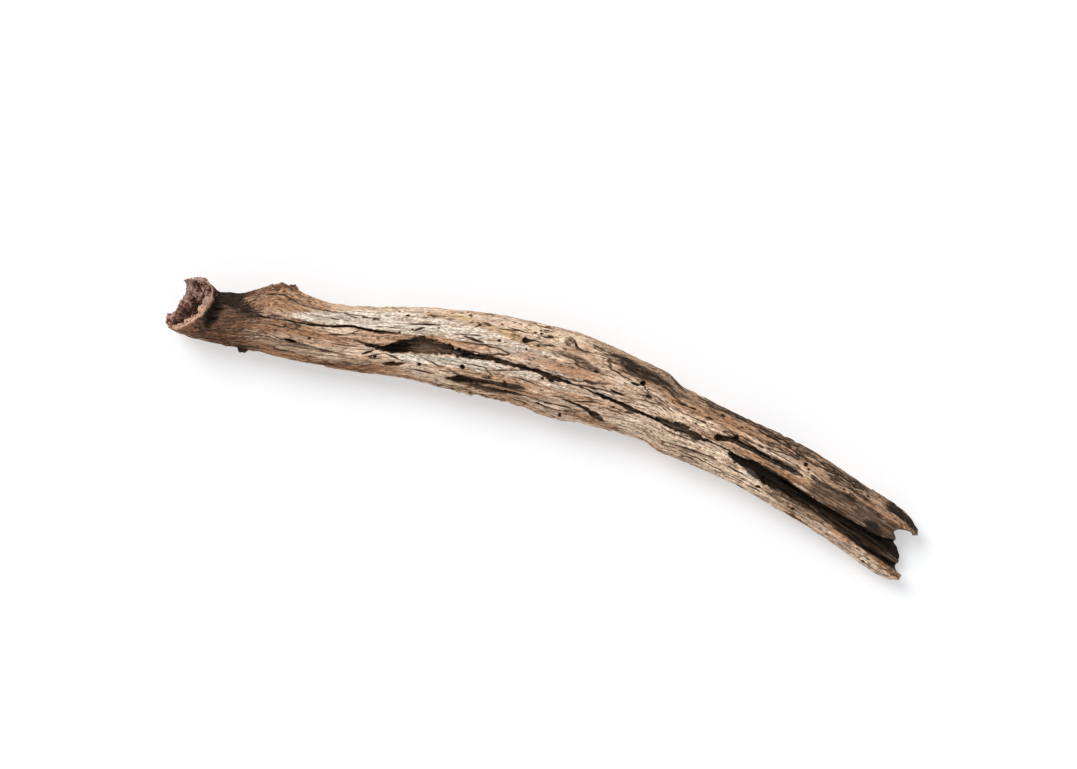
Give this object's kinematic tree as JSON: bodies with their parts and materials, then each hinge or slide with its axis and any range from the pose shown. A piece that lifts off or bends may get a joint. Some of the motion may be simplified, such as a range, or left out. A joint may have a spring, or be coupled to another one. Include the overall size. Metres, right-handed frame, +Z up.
{
  "type": "driftwood root",
  "caption": "Long, gently bowed piece of weathered driftwood root with a broken stump end, a burl, a long crack and a hollowed, pronged far end.",
  "frame": {"origin": "on the ground, under the middle of the piece's bounding box", "axes": "+X along the root, from the broken stump end to the prongs; +Z up, away from the ground"},
  "size_m": [0.6004, 0.1008, 0.0528],
  "materials": {
    "weathered_wood": "dry bare driftwood: silver-grey and tan grain with ochre streaks, red-brown broken stump and near-black cracks"
  },
  "bodies": {
    "root": {"driftwood": "weathered_wood"}
  },
  "joints": []
}
